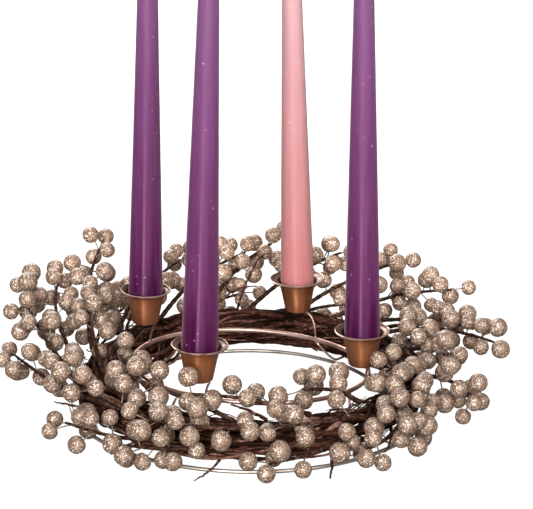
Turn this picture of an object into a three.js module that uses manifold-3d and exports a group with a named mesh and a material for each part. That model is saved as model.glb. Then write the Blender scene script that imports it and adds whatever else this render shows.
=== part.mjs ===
// Advent wreath: a ring of dark vine twigs with sprays of glittered berries tied into it, and a
// copper wire candle frame whose four flared cups hold three purple tapers and a pink one.
// Millimetres, +Z up, the table at z = 0. Azimuths are degrees from +X, anticlockwise from above.
import * as THREE from 'three';
import { mergeVertices } from 'three/addons/utils/BufferGeometryUtils.js';
import Module from 'manifold-3d';

// Candle frame
const CUP_CIRCLE_RADIUS = 75;
const MEAN_RIM_HEIGHT = 61;
const UPPER_RING_HEIGHT = 24;
const UPPER_RING_SLOPE_X = -0.044;
const UPPER_RING_SLOPE_Y = -0.056;
const UPPER_WIRE_RADIUS = 1.5;
const LOWER_WIRE_RADIUS = 1.2;
const INNER_RING_RADIUS = 85;
const OUTER_RING_RADIUS = 115;
const LEG_WIRE_RADIUS = 0.75;
const LEG_AZIMUTHS = [54, 126, 234, 324];
const LEG_TURN = -6;
const POST_START = 3;
const POST_REACH = 10;
const POST_BEND = 9;
const WIRE_SIDES = 6;
const RING_STEPS = 32;
const LEG_STEPS = 4;
const POST_STEPS = 6;
const TOUCH_GAP = 0.3;

// Cups and tapers, one of each at every place
const CUP_HEIGHT = 22.6;
const CUP_BASE_RADIUS = 8.4;
const CUP_BODY_RADIUS = 11.9;
const CUP_WALL = 0.7;
const CANDLE_RADIUS = 11.1;
const CANDLE_LENGTH = 254;
const CANDLE_SHOULDER_RADIUS = 5.7;
const CANDLE_SHOULDER_LENGTH = 12;
const CANDLE_DEPTH_IN_CUP = 21.2;
const WICK_RADIUS = 0.9;
const WICK_LENGTH = 14;
const WICK_DEPTH = 4;
const LATHE_SIDES = 12;
const PURPLE = 0x7c4473;
const PINK = 0xe4a2a5;

// Each place's azimuth, the rise of its rim over the mean, its lean to the right and the radius of
// its rim, the azimuth that its post leaves the cup's foot in, and how far round the ring it ends
const PLACES = [
  { name: 'back_left', azimuth: 156, rise: 2.9, lean: 0.95, rim: 16.3, way: 10, turn: -4, wax: PURPLE },
  { name: 'front_left', azimuth: 246, rise: 2.1, lean: 1.44, rim: 17.2, way: 350, turn: 3, wax: PURPLE },
  { name: 'back_right', azimuth: 66, rise: -1.2, lean: -1.86, rim: 18.4, way: 345, turn: -11, wax: PINK },
  { name: 'front_right', azimuth: 336, rise: -2.0, lean: -1.18, rim: 17.2, way: 20, turn: 8, wax: PURPLE },
];

// Vine ring
const VINE_RADIUS = 99;
const VINE_HEIGHT = 15.7;
const VINE_HALF_WIDTH = 15.3;
const VINE_HALF_DEPTH = 11.3;
const VINE_STEPS = 32;
const VINE_ROPES = 5;
const VINE_ROPE_POINTS = 3;
const VINE_ROPE_RELIEF = 0.1;
const STRAND_RADIUS = 2.4;
const STRAND_SIDES = 3;
const STRAND_WAVE = 0.08;
const STRAND_TURNS = [2, -1, -2];
const SOCKET_GAP = 0.55;
const TWIG_ROOT_RADIUS = 1.3;
const TWIG_TIP_RADIUS = 0.5;

// Sprays of berries
const SEED = 1224;
const STEM_ROOT_RADIUS = 1.8;
const STEM_TIP_RADIUS = 0.9;
const STEM_STEPS = 4;
const STEM_SIDES = 4;
const STALK_RADIUS = 0.55;
const STALK_SIDES = 3;
const BERRY_RADIUS_MIN = 5.1;
const BERRY_RADIUS_MAX = 6.4;
const BERRY_FACET_GROWTH = 1.05;
const BERRIES_A_SPRAY = 6;
const BERRY_TRIES = 40;
const FIRST_BERRY_SHARE = 0.3;
const STALK_LENGTH_MIN = 2;
const STALK_LENGTH_MAX = 9;
const SPLAY_MIN = 35;
const SPLAY_MAX = 80;
const GOLDEN_ANGLE = 137.5;
const ANGLE_JITTER = 70;
const CLEARANCE = 0.45;
const HOLE_RADIUS = 60;

// Each row is one spray: azimuth of its root, then azimuth, radius and height of its tip. The
// sprays all run clockwise seen from above, and lie in three layers from the table up.
const LAYERS = [
  {
    rootRadius: 108,
    rootHeight: 13,
    bow: 9,
    rise: 2,
    rows: [
      [330, 297, 132, 13],
      [300, 275, 130, 13],
      [264, 236, 129, 14],
      [252, 214, 134, 14],
      [160, 130, 138, 24],
      [124, 92, 136, 26],
      [84, 54, 136, 28],
      [44, 14, 136, 24],
      [8, 343, 143, 19],
      [350, 317, 127, 13],
    ],
  },
  {
    rootRadius: 108,
    rootHeight: 22,
    bow: 9,
    rise: 6,
    rows: [
      [224, 181, 150, 30],
      [204, 166, 152, 61],
      [184, 154, 143, 56],
      [164, 141, 131, 76],
      [146, 112, 127, 56],
      [126, 92, 130, 58],
      [108, 84, 132, 64],
      [92, 62, 132, 62],
      [74, 45, 144, 60],
      [60, 28, 152, 51],
      [50, 14, 150, 36],
      [38, 5, 157, 35],
      [18, 344, 126, 40],
      [345, 310, 130, 34],
      [312, 276, 130, 36],
      [280, 244, 132, 34],
      [240, 204, 128, 40],
    ],
  },
  {
    rootRadius: 95,
    rootHeight: 26,
    bow: 4,
    rise: 10,
    rows: [
      [314, 291, 84, 38],
      [292, 247, 98, 40],
      [264, 226, 104, 44],
      [238, 203, 88, 42],
      [200, 166, 106, 54],
      [34, 358, 106, 46],
      [354, 322, 104, 44],
    ],
  },
];

// Loose twig ends that stick out of the vine ring: azimuth, radius and height of the root, then
// of the tip.
const TWIGS = [
  [296, 108, 10, 290, 134, 2.2],
  [262, 108, 9, 256, 133, 2.2],
  [236, 110, 12, 231, 131, 6],
  [214, 110, 16, 205, 132, 20],
  [108, 99, 24, 88, 96, 44],
  [95, 108, 24, 84, 116, 62],
  [60, 92, 24, 44, 88, 30],
  [176, 90, 24, 160, 86, 34],
  [20, 90, 22, 4, 87, 26],
  [322, 108, 10, 308, 128, 8],
  [140, 110, 20, 126, 128, 30],
  [276, 92, 24, 262, 88, 32],
];

const manifold = await Module();
manifold.setup();

const radians = THREE.MathUtils.degToRad;

// Point at an azimuth in degrees, a distance from the wreath's axis and a height
function polar(azimuth, radius, height) {
  const angle = radians(azimuth);
  return new THREE.Vector3(radius * Math.cos(angle), radius * Math.sin(angle), height);
}

// Solids

function toSolid(geometry) {
  const bare = geometry.clone();
  bare.deleteAttribute('normal');
  bare.deleteAttribute('uv');
  const merged = mergeVertices(bare, 1e-4);
  const mesh = new manifold.Mesh({
    numProp: 3,
    vertProperties: new Float32Array(merged.attributes.position.array),
    triVerts: new Uint32Array(merged.index.array),
  });
  return new manifold.Manifold(mesh);
}

function toGeometry(solid) {
  const mesh = solid.getMesh();
  const geometry = new THREE.BufferGeometry();
  geometry.setAttribute('position', new THREE.BufferAttribute(mesh.vertProperties, 3));
  geometry.setIndex(new THREE.BufferAttribute(mesh.triVerts, 1));
  geometry.computeVertexNormals();
  return geometry;
}

// The largest of the separate bodies that a cut may leave
function largestBody(solid) {
  return solid.decompose().reduce((best, body) => (body.volume() > best.volume() ? body : best));
}

// A closed round bar bent along a curve, tapering evenly from its first to its last radius
function bentBar(curve, firstRadius, lastRadius, sides, steps) {
  const geometry = new THREE.CylinderGeometry(lastRadius, firstRadius, 1, sides, steps);
  const position = geometry.attributes.position;
  const vertex = new THREE.Vector3();
  for (let i = 0; i < position.count; i += 1) {
    vertex.fromBufferAttribute(position, i);
    const share = vertex.y + 0.5;
    const along = curve.getTangent(share);
    const side = new THREE.Vector3(0, 0, 1).cross(along).normalize();
    const up = new THREE.Vector3().crossVectors(along, side);
    const point = curve.getPoint(share);
    point.addScaledVector(side, vertex.z).addScaledVector(up, vertex.x);
    position.setXYZ(i, point.x, point.y, point.z);
  }
  return geometry;
}

// A ball with the twenty faces of an icosahedron, whose lowest corner is drawn out into a
// three-sided stalk that ends at the root
function berryOnStalk(root, centre, ballRadius, stalkRadius) {
  const length = centre.distanceTo(root);
  const waist = ballRadius * Math.sqrt(0.8);
  const latitude = ballRadius * Math.sqrt(0.2);
  const points = [new THREE.Vector3(0, 0, ballRadius)];
  const ring = (count, radius, height, turn) => {
    for (let i = 0; i < count; i += 1) {
      points.push(polar((i * 360) / count + turn, radius, height));
    }
  };
  ring(5, waist, latitude, 0);
  ring(5, waist, -latitude, 36);
  ring(3, stalkRadius, -ballRadius * 0.95, 36);
  ring(3, stalkRadius, -length, 36);
  const faces = [];
  for (let i = 0; i < 5; i += 1) {
    const next = (i + 1) % 5;
    faces.push(0, 1 + i, 1 + next);
    faces.push(1 + i, 6 + i, 1 + next);
    faces.push(1 + next, 6 + i, 6 + next);
  }
  faces.push(6, 11, 7, 7, 11, 12, 7, 12, 8, 8, 12, 9, 9, 12, 13, 9, 13, 10, 10, 13, 11, 10, 11, 6);
  for (let i = 0; i < 3; i += 1) {
    const next = (i + 1) % 3;
    faces.push(11 + i, 14 + i, 11 + next, 11 + next, 14 + i, 14 + next);
  }
  faces.push(14, 16, 15);
  const geometry = new THREE.BufferGeometry().setFromPoints(points);
  geometry.setIndex(faces);
  const outward = centre.clone().sub(root).normalize();
  const turn = new THREE.Quaternion().setFromUnitVectors(new THREE.Vector3(0, 0, 1), outward);
  geometry.applyQuaternion(turn);
  geometry.translate(centre.x, centre.y, centre.z);
  return geometry;
}

const wreath = new THREE.Group();

function addPiece(parent, name, geometry, colour, roughness, metalness) {
  const material = new THREE.MeshStandardMaterial({ color: colour, roughness, metalness });
  const mesh = new THREE.Mesh(geometry, material);
  mesh.name = name;
  parent.add(mesh);
  return mesh;
}

// Wire rings: an upper one under the cups, which leans a little, and two flat on the table

// Share of a six-sided wire's radius from its middle to a flat
const WIRE_FLAT = Math.sin(radians(60));

const COPPER = 0x97623f;
const COPPER_ROUGHNESS = 0.35;

function addCopper(parent, name, geometry) {
  return addPiece(parent, name, geometry, COPPER, COPPER_ROUGHNESS, 1);
}

function upperRingHeight(azimuth) {
  const point = polar(azimuth, CUP_CIRCLE_RADIUS, 0);
  return UPPER_RING_HEIGHT + point.x * UPPER_RING_SLOPE_X + point.y * UPPER_RING_SLOPE_Y;
}

const upperRing = addCopper(
  wreath,
  'upper_ring',
  new THREE.TorusGeometry(CUP_CIRCLE_RADIUS, UPPER_WIRE_RADIUS, WIRE_SIDES, RING_STEPS),
);
upperRing.position.z = UPPER_RING_HEIGHT;
upperRing.rotation.x = Math.atan(UPPER_RING_SLOPE_Y);
upperRing.rotation.y = -Math.atan(UPPER_RING_SLOPE_X);

const lowerRingHeight = LOWER_WIRE_RADIUS * WIRE_FLAT;
for (const [name, radius] of [
  ['inner_ring', INNER_RING_RADIUS],
  ['outer_ring', OUTER_RING_RADIUS],
]) {
  const geometry = new THREE.TorusGeometry(radius, LOWER_WIRE_RADIUS, WIRE_SIDES, RING_STEPS);
  addCopper(wreath, name, geometry).position.z = lowerRingHeight;
}

// Legs: each comes down from the upper ring, bends over the inner ring and runs out level under
// the vines to the outer ring

const legLevel = 2 * lowerRingHeight + TOUCH_GAP + LEG_WIRE_RADIUS * WIRE_FLAT;
const legTopDrop = UPPER_WIRE_RADIUS * WIRE_FLAT + TOUCH_GAP + 0.4;
const legPaths = LEG_AZIMUTHS.map((azimuth) => ({
  top: polar(azimuth, CUP_CIRCLE_RADIUS, upperRingHeight(azimuth) - legTopDrop),
  knee: polar(azimuth + LEG_TURN, INNER_RING_RADIUS - 3, legLevel),
  heel: polar(azimuth + LEG_TURN, INNER_RING_RADIUS + 2, legLevel),
  end: polar(azimuth + LEG_TURN, OUTER_RING_RADIUS + 1, legLevel),
}));
legPaths.forEach(({ top, knee, heel, end }, index) => {
  const slope = new THREE.QuadraticBezierCurve3(top, knee, heel);
  const slanted = bentBar(slope, LEG_WIRE_RADIUS, LEG_WIRE_RADIUS, WIRE_SIDES, LEG_STEPS);
  const start = heel.clone().lerp(end, -0.05);
  const level = bentBar(new THREE.LineCurve3(start, end), LEG_WIRE_RADIUS, LEG_WIRE_RADIUS, WIRE_SIDES, 1);
  addCopper(wreath, `leg_${index + 1}`, toGeometry(toSolid(slanted).add(toSolid(level))));
});

// Cups, tapers, wicks and the posts that carry the cups. Each cup leans with its taper, and its
// own origin is the middle of its rim.

const CUP_FLARE_HEIGHT = -3.2;
const CUP_LIP_DROP = 0.9;

function cupProfile(rim) {
  return [
    [0, -CUP_HEIGHT],
    [CUP_BASE_RADIUS, -CUP_HEIGHT],
    [CUP_BODY_RADIUS, CUP_FLARE_HEIGHT],
    [rim - 1, -CUP_LIP_DROP - CUP_WALL],
    [rim, -CUP_LIP_DROP],
    [rim, 0],
    [rim - 1.2, -0.3],
    [CUP_BODY_RADIUS - CUP_WALL + 0.35, CUP_FLARE_HEIGHT + 1],
    [CUP_BASE_RADIUS - CUP_WALL, -CUP_HEIGHT + CUP_WALL],
    [0, -CUP_HEIGHT + CUP_WALL],
  ];
}

const candleTop = CANDLE_LENGTH - CANDLE_DEPTH_IN_CUP;
const candleFoot = -CANDLE_DEPTH_IN_CUP;
const WICK_HOLE_RADIUS = WICK_RADIUS + TOUCH_GAP + 0.1;

const candleProfile = [
  [0, candleFoot],
  [CUP_BASE_RADIUS - CUP_WALL - TOUCH_GAP, candleFoot],
  [CUP_BODY_RADIUS - CUP_WALL - TOUCH_GAP - 0.1, CUP_FLARE_HEIGHT],
  [CANDLE_RADIUS, CUP_FLARE_HEIGHT + 1.5],
  [CANDLE_SHOULDER_RADIUS, candleTop - CANDLE_SHOULDER_LENGTH],
  [CANDLE_SHOULDER_RADIUS * 0.8, candleTop - CANDLE_SHOULDER_LENGTH * 0.3],
  [WICK_HOLE_RADIUS, candleTop],
  [WICK_HOLE_RADIUS, candleTop - WICK_DEPTH],
  [0, candleTop - WICK_DEPTH],
];

// A shape turned about Z from its outline, given as distances from the axis and heights
function turned(profile) {
  const outline = profile.map(([radius, height]) => new THREE.Vector2(radius, height));
  return new THREE.LatheGeometry(outline, LATHE_SIDES).rotateX(Math.PI / 2);
}

for (const place of PLACES) {
  const holder = new THREE.Group();
  holder.position.copy(polar(place.azimuth, CUP_CIRCLE_RADIUS, MEAN_RIM_HEIGHT + place.rise));
  holder.rotation.y = radians(place.lean);
  wreath.add(holder);
  addCopper(holder, `cup_${place.name}`, turned(cupProfile(place.rim)));
  addPiece(holder, `candle_${place.name}`, turned(candleProfile), place.wax, 0.45, 0);
  const wick = new THREE.CylinderGeometry(WICK_RADIUS, WICK_RADIUS, WICK_LENGTH, 5);
  wick.rotateX(Math.PI / 2);
  wick.translate(0, 0, candleTop - WICK_DEPTH + TOUCH_GAP + WICK_LENGTH / 2);
  addPiece(holder, `wick_${place.name}`, wick, 0xe8e2d4, 0.9, 0);

  holder.updateMatrixWorld();
  const underCup = -CUP_HEIGHT - TOUCH_GAP - LEG_WIRE_RADIUS;
  const postTop = holder.localToWorld(polar(place.way, POST_START, underCup));
  const besideTop = holder.localToWorld(polar(place.way, POST_REACH, underCup));
  const footAzimuth = place.azimuth + place.turn;
  const footHeight = upperRingHeight(footAzimuth) + UPPER_WIRE_RADIUS + TOUCH_GAP;
  const postFoot = polar(footAzimuth, CUP_CIRCLE_RADIUS, footHeight);
  const aboveFoot = polar(footAzimuth, CUP_CIRCLE_RADIUS, footHeight + POST_BEND);
  const postCurve = new THREE.CubicBezierCurve3(postTop, besideTop, aboveFoot, postFoot);
  const post = bentBar(postCurve, LEG_WIRE_RADIUS, LEG_WIRE_RADIUS, WIRE_SIDES, POST_STEPS);
  addCopper(wreath, `post_${place.name}`, post);
}

// Room already taken, as straight round bars that keep out of each other. A ball is a bar with no
// length. The owner is the number of the spray that a bar belongs to.

const taken = [];

function take(from, to, radius, owner) {
  taken.push({ from, to, radius, owner });
}

// Shortest distance between two stretches
function stretchDistance(a0, a1, b0, b1) {
  const a = a1.clone().sub(a0);
  const b = b1.clone().sub(b0);
  const between = a0.clone().sub(b0);
  const aa = a.dot(a);
  const bb = b.dot(b);
  const ab = a.dot(b);
  const ac = a.dot(between);
  const bc = b.dot(between);
  const spread = aa * bb - ab * ab;
  let s = spread > 1e-9 ? THREE.MathUtils.clamp((ab * bc - ac * bb) / spread, 0, 1) : 0;
  let t = bb > 1e-9 ? (ab * s + bc) / bb : 0;
  if (t < 0 || t > 1) {
    t = THREE.MathUtils.clamp(t, 0, 1);
    s = aa > 1e-9 ? THREE.MathUtils.clamp((ab * t - ac) / aa, 0, 1) : 0;
  }
  const nearA = a0.clone().addScaledVector(a, s);
  const nearB = b0.clone().addScaledVector(b, t);
  return nearA.distanceTo(nearB);
}

function isFree(from, to, radius, owner, ownClearance) {
  return taken.every((bar) => {
    const gap = bar.owner === owner ? ownClearance : CLEARANCE;
    return stretchDistance(from, to, bar.from, bar.to) >= radius + bar.radius + gap;
  });
}

// Whether a ball keeps off the table, the vines, the wire rings, the cups and candles and the hole
function clearsFrame(centre, radius) {
  const room = radius + CLEARANCE;
  const outward = Math.hypot(centre.x, centre.y);
  const azimuth = THREE.MathUtils.radToDeg(Math.atan2(centre.y, centre.x));
  if (centre.z < room || outward < HOLE_RADIUS + room) {
    return false;
  }
  const wide = VINE_HALF_WIDTH + room;
  const deep = VINE_HALF_DEPTH + room;
  if (Math.hypot((outward - VINE_RADIUS) / wide, (centre.z - VINE_HEIGHT) / deep) < 1) {
    return false;
  }
  for (const [ringRadius, ringHeight, wireRadius] of [
    [CUP_CIRCLE_RADIUS, upperRingHeight(azimuth), UPPER_WIRE_RADIUS],
    [INNER_RING_RADIUS, lowerRingHeight, LOWER_WIRE_RADIUS],
    [OUTER_RING_RADIUS, lowerRingHeight, LOWER_WIRE_RADIUS],
  ]) {
    if (Math.hypot(outward - ringRadius, centre.z - ringHeight) < wireRadius + room) {
      return false;
    }
  }
  for (const place of PLACES) {
    const rim = MEAN_RIM_HEIGHT + place.rise;
    const lean = Math.tan(radians(place.lean));
    const axis = polar(place.azimuth, CUP_CIRCLE_RADIUS, rim);
    const offset = Math.hypot(centre.x - axis.x - lean * (centre.z - rim), centre.y - axis.y);
    const above = centre.z - rim;
    let reach = CUP_BODY_RADIUS;
    if (above + room > CUP_FLARE_HEIGHT && above - room < 0.5) {
      reach = place.rim + 0.4;
    }
    if (offset < reach + room) {
      return false;
    }
  }
  return true;
}

legPaths.forEach(({ top, heel, end }) => {
  take(top, heel, LEG_WIRE_RADIUS + 1, 'leg');
  take(heel, end, LEG_WIRE_RADIUS, 'leg');
});

// Stems of the sprays. One that would cross another is bent clear of it, up or down.

const sprays = [];
const BEND_STEP = 1.6;
const BEND_TRIES = 24;

function stemCurve(layer, row, lift) {
  const [rootAzimuth, tipAzimuth, tipRadius, tipHeight] = row;
  const root = polar(rootAzimuth, layer.rootRadius, layer.rootHeight + lift * 0.4);
  const tip = polar(tipAzimuth, tipRadius, tipHeight);
  const middleAzimuth = (rootAzimuth + nearTurn(tipAzimuth, rootAzimuth)) / 2;
  const middleRadius = (layer.rootRadius + tipRadius) / 2 + layer.bow;
  const middleHeight = (layer.rootHeight + tipHeight) / 2 + layer.rise + lift;
  const middle = polar(middleAzimuth, middleRadius, middleHeight);
  return new THREE.QuadraticBezierCurve3(root, middle, tip);
}

// The same direction as an azimuth, within half a turn of another
function nearTurn(azimuth, other) {
  return other + THREE.MathUtils.euclideanModulo(azimuth - other + 180, 360) - 180;
}

function stemBars(curve, owner) {
  const points = curve.getPoints(STEM_STEPS);
  return points.slice(1).map((to, index) => {
    const share = index / STEM_STEPS;
    const radius = THREE.MathUtils.lerp(STEM_ROOT_RADIUS, STEM_TIP_RADIUS, share);
    return { from: points[index], to, radius, owner };
  });
}

for (const layer of LAYERS) {
  for (const row of layer.rows) {
    const owner = sprays.length;
    let curve;
    let bars;
    for (let attempt = 0; attempt < BEND_TRIES; attempt += 1) {
      const side = attempt % 2 === 0 ? 1 : -1;
      curve = stemCurve(layer, row, side * Math.ceil(attempt / 2) * BEND_STEP);
      bars = stemBars(curve, owner);
      if (bars.every((bar) => isFree(bar.from, bar.to, bar.radius, owner, 0))) {
        break;
      }
    }
    taken.push(...bars);
    sprays.push({ curve, berries: [] });
  }
}

const twigCurves = TWIGS.map(([rootAzimuth, rootRadius, rootHeight, azimuth, radius, height]) => {
  const root = polar(rootAzimuth, rootRadius, rootHeight);
  const tip = polar(azimuth, radius, height);
  const middle = polar((rootAzimuth + azimuth) / 2, (rootRadius + radius) / 2 + 3, height);
  return new THREE.QuadraticBezierCurve3(root, middle, tip);
});
for (const curve of twigCurves) {
  const points = curve.getPoints(3);
  points.slice(1).forEach((to, index) => take(points[index], to, TWIG_ROOT_RADIUS, 'twig'));
}

// Berries: round after round, one for each spray, from its tip back towards its root

function seededRandom(seed) {
  let state = seed >>> 0;
  return () => {
    state = (state + 0x6d2b79f5) >>> 0;
    let mixed = Math.imul(state ^ (state >>> 15), state | 1);
    mixed ^= mixed + Math.imul(mixed ^ (mixed >>> 7), mixed | 61);
    return ((mixed ^ (mixed >>> 14)) >>> 0) / 4294967296;
  };
}

const random = seededRandom(SEED);

function between(low, high) {
  return low + (high - low) * random();
}

function stalkDirection(curve, share, turn, splay) {
  const along = curve.getTangent(share);
  const side = new THREE.Vector3(0, 0, 1).cross(along).normalize();
  const up = new THREE.Vector3().crossVectors(along, side);
  const sideways = Math.sin(radians(splay));
  return along
    .multiplyScalar(Math.cos(radians(splay)))
    .addScaledVector(side, sideways * Math.cos(radians(turn)))
    .addScaledVector(up, sideways * Math.sin(radians(turn)));
}

function berryFits(root, centre, radius, owner) {
  const ball = radius * BERRY_FACET_GROWTH;
  const stalkStart = root.clone().lerp(centre, 0.35);
  return (
    clearsFrame(centre, ball) &&
    clearsFrame(stalkStart, STALK_RADIUS) &&
    isFree(centre, centre, ball, owner, 0) &&
    taken.every((bar) => {
      if (bar.owner === owner) {
        return true;
      }
      const room = STALK_RADIUS + bar.radius + CLEARANCE;
      return stretchDistance(root, centre, bar.from, bar.to) >= room;
    })
  );
}

for (let round = 0; round < BERRIES_A_SPRAY; round += 1) {
  sprays.forEach((spray, owner) => {
    const radius = between(BERRY_RADIUS_MIN, BERRY_RADIUS_MAX);
    const share = THREE.MathUtils.lerp(1, FIRST_BERRY_SHARE, round / (BERRIES_A_SPRAY - 1));
    const root = spray.curve.getPoint(share);
    for (let attempt = 0; attempt < BERRY_TRIES; attempt += 1) {
      const turn = round * GOLDEN_ANGLE + owner * 31 + between(-ANGLE_JITTER, ANGLE_JITTER) * 2;
      const splay = round === 0 ? between(0, SPLAY_MIN) : between(SPLAY_MIN, SPLAY_MAX);
      const length = between(STALK_LENGTH_MIN, STALK_LENGTH_MAX);
      const centre = stalkDirection(spray.curve, share, turn, splay);
      centre.multiplyScalar(length + radius).add(root);
      if (berryFits(root, centre, radius, owner)) {
        take(centre, centre, radius * BERRY_FACET_GROWTH, owner);
        take(root, centre, STALK_RADIUS, owner);
        spray.berries.push({ root, centre, radius });
        break;
      }
    }
  });
}

const CHAMPAGNE = 0xb49c8e;

sprays.forEach(({ curve, berries }, index) => {
  const stem = bentBar(curve, STEM_ROOT_RADIUS, STEM_TIP_RADIUS, STEM_SIDES, STEM_STEPS);
  let solid = toSolid(stem);
  for (const { root, centre, radius } of berries) {
    const berry = berryOnStalk(root, centre, radius * BERRY_FACET_GROWTH, STALK_RADIUS);
    solid = solid.add(toSolid(berry));
  }
  const name = `spray_${String(index + 1).padStart(2, '0')}`;
  addPiece(wreath, name, toGeometry(largestBody(solid)), CHAMPAGNE, 0.5, 0.4);
});

// Vine ring: strands wound round a core, with loose twig ends, and a plain hole or groove for
// every stem that is pushed into it

// A ring-shaped tube whose points are moved by a rule, from its azimuth and the angle round its
// section to the distances outward and upward from the middle of the vines
function shapedRing(radius, sides, rule) {
  const geometry = new THREE.TorusGeometry(VINE_RADIUS, radius, sides, VINE_STEPS);
  const position = geometry.attributes.position;
  for (let i = 0; i < position.count; i += 1) {
    const angle = Math.atan2(position.getY(i), position.getX(i));
    const outward = Math.hypot(position.getX(i), position.getY(i)) - VINE_RADIUS;
    const [wide, high] = rule(angle, outward, position.getZ(i));
    const shaped = VINE_RADIUS + wide;
    position.setXYZ(i, shaped * Math.cos(angle), shaped * Math.sin(angle), VINE_HEIGHT + high);
  }
  return geometry;
}

const bundle = shapedRing(1, VINE_ROPES * VINE_ROPE_POINTS, (angle, outward, upward) => {
  const section = Math.atan2(upward, outward);
  const relief = 1 - VINE_ROPE_RELIEF * (1 - Math.cos(VINE_ROPES * (section - angle)));
  return [outward * VINE_HALF_WIDTH * relief, upward * VINE_HALF_DEPTH * relief];
});
let vines = toSolid(bundle);
STRAND_TURNS.forEach((turns, index) => {
  const start = (index / STRAND_TURNS.length) * Math.PI * 2;
  const strand = shapedRing(STRAND_RADIUS, STRAND_SIDES, (angle, outward, upward) => {
    const wound = start + turns * angle;
    const wave = 1 - STRAND_WAVE * (0.5 + 0.5 * Math.sin(5 * angle + index));
    const wide = (VINE_HALF_WIDTH - STRAND_RADIUS) * wave * Math.cos(wound);
    const high = (VINE_HALF_DEPTH - STRAND_RADIUS) * wave * Math.sin(wound);
    return [outward + wide, upward + high];
  });
  vines = vines.add(toSolid(strand));
});
for (const curve of twigCurves) {
  vines = vines.add(toSolid(bentBar(curve, TWIG_ROOT_RADIUS, TWIG_TIP_RADIUS, STALK_SIDES, 3)));
}
for (const { curve } of sprays) {
  const rootHole = STEM_ROOT_RADIUS + SOCKET_GAP;
  const tipHole = STEM_TIP_RADIUS + SOCKET_GAP;
  vines = vines.subtract(toSolid(bentBar(curve, rootHole, tipHole, STEM_SIDES, STEM_STEPS)));
}
addPiece(wreath, 'vine_ring', toGeometry(largestBody(vines)), 0x3d2b25, 0.9, 0);

// The origin is the middle of the footprint, on the table
wreath.updateMatrixWorld(true);
const box = new THREE.Box3().setFromObject(wreath, true);
const centred = new THREE.Group();
wreath.position.set(-(box.min.x + box.max.x) / 2, -(box.min.y + box.max.y) / 2, -box.min.z);
centred.add(wreath);

export default centred;
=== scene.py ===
# An advent wreath: dark vine twigs wound into a ring, sprays of glittered berries tied into it,
# and a copper wire frame whose four flared cups hold three purple tapers and a pink one.
# Pieces are modelled in millimetres round the wreath's own axis, then set down in the frame.
import random
from math import atan, atan2, ceil, cos, degrees, exp, hypot, radians, sin, tan, tau

import bpy
import numpy as np
from mathutils import Matrix, Vector


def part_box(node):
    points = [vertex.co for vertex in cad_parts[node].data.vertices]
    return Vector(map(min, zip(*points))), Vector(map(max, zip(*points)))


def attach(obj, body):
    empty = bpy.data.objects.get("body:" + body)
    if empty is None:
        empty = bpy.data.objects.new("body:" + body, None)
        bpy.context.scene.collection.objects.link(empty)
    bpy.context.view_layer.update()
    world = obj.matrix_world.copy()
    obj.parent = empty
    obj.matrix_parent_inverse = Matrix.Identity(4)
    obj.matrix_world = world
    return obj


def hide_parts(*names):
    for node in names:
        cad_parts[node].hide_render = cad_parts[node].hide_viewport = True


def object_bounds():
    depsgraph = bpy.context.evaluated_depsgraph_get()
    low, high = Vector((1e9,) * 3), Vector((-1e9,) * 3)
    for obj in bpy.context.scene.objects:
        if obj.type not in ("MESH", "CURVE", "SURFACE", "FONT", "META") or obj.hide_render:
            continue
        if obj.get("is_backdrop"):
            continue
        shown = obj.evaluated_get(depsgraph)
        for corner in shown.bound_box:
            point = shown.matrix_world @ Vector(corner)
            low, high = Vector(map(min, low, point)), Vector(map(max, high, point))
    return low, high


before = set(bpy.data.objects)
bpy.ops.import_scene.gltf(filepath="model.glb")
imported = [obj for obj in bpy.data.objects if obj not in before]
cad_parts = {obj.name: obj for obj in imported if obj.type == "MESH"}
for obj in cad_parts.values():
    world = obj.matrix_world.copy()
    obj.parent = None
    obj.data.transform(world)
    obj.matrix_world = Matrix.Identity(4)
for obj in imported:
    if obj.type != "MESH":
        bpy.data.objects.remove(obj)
cad_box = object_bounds()
bpy.ops.object.select_all(action="DESELECT")

# The camera looks down on the wreath from the front, a little above the candles' middle.
# It stands about a metre off, so that the rings show as flat ellipses.
CAMERA_DISTANCE = 1083.4
CAMERA_HEIGHT = 440.5
CAMERA_YAW = 0.488
CAMERA_PITCH = -17.568
CAMERA_ROLL = 0.578
CAMERA_LENS = 122.6

MILLIMETRE = 0.001
inner_low, inner_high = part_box("inner_ring")
axis_foot = Vector(((inner_low.x + inner_high.x) / 2, (inner_low.y + inner_high.y) / 2, 0))
INTO_FRAME = Matrix.Translation(axis_foot) @ Matrix.Scale(MILLIMETRE, 4)

bpy.ops.object.camera_add()
camera = bpy.context.object
camera_turn = (
    Matrix.Rotation(radians(-CAMERA_YAW), 4, "Z")
    @ Matrix.Rotation(radians(90 + CAMERA_PITCH), 4, "X")
    @ Matrix.Rotation(radians(CAMERA_ROLL), 4, "Z")
)
camera_place = INTO_FRAME @ Vector((0, -CAMERA_DISTANCE, CAMERA_HEIGHT))
camera.matrix_world = Matrix.Translation(camera_place) @ camera_turn
camera.data.lens = CAMERA_LENS
bpy.context.scene.camera = camera

# The candle frame's rings are bent from copper-plated wire and butt-welded. The thicker one carries
# the cups and leans a little to the back; the two thin ones lie on the table under the vines.
CUP_CIRCLE_RADIUS = 75
UPPER_RING_HEIGHT = 24
UPPER_RING_SLOPE_X = -0.044
UPPER_RING_SLOPE_Y = -0.056
UPPER_WIRE_RADIUS = 1.5
LOWER_WIRE_RADIUS = 1.2
INNER_RING_RADIUS = 85
OUTER_RING_RADIUS = 115
LOWER_RING_HEIGHT = 1.2
RING_SEGMENTS = 160
WIRE_SEGMENTS = 12
WELD_AZIMUTH = 291
WELD_HALF_ANGLE = 1.3
WELD_SWELL = (1.22, 1.22, 1.02)
HAND_BEND = 0.9
HAND_BEND_LENGTH = 70

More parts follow.
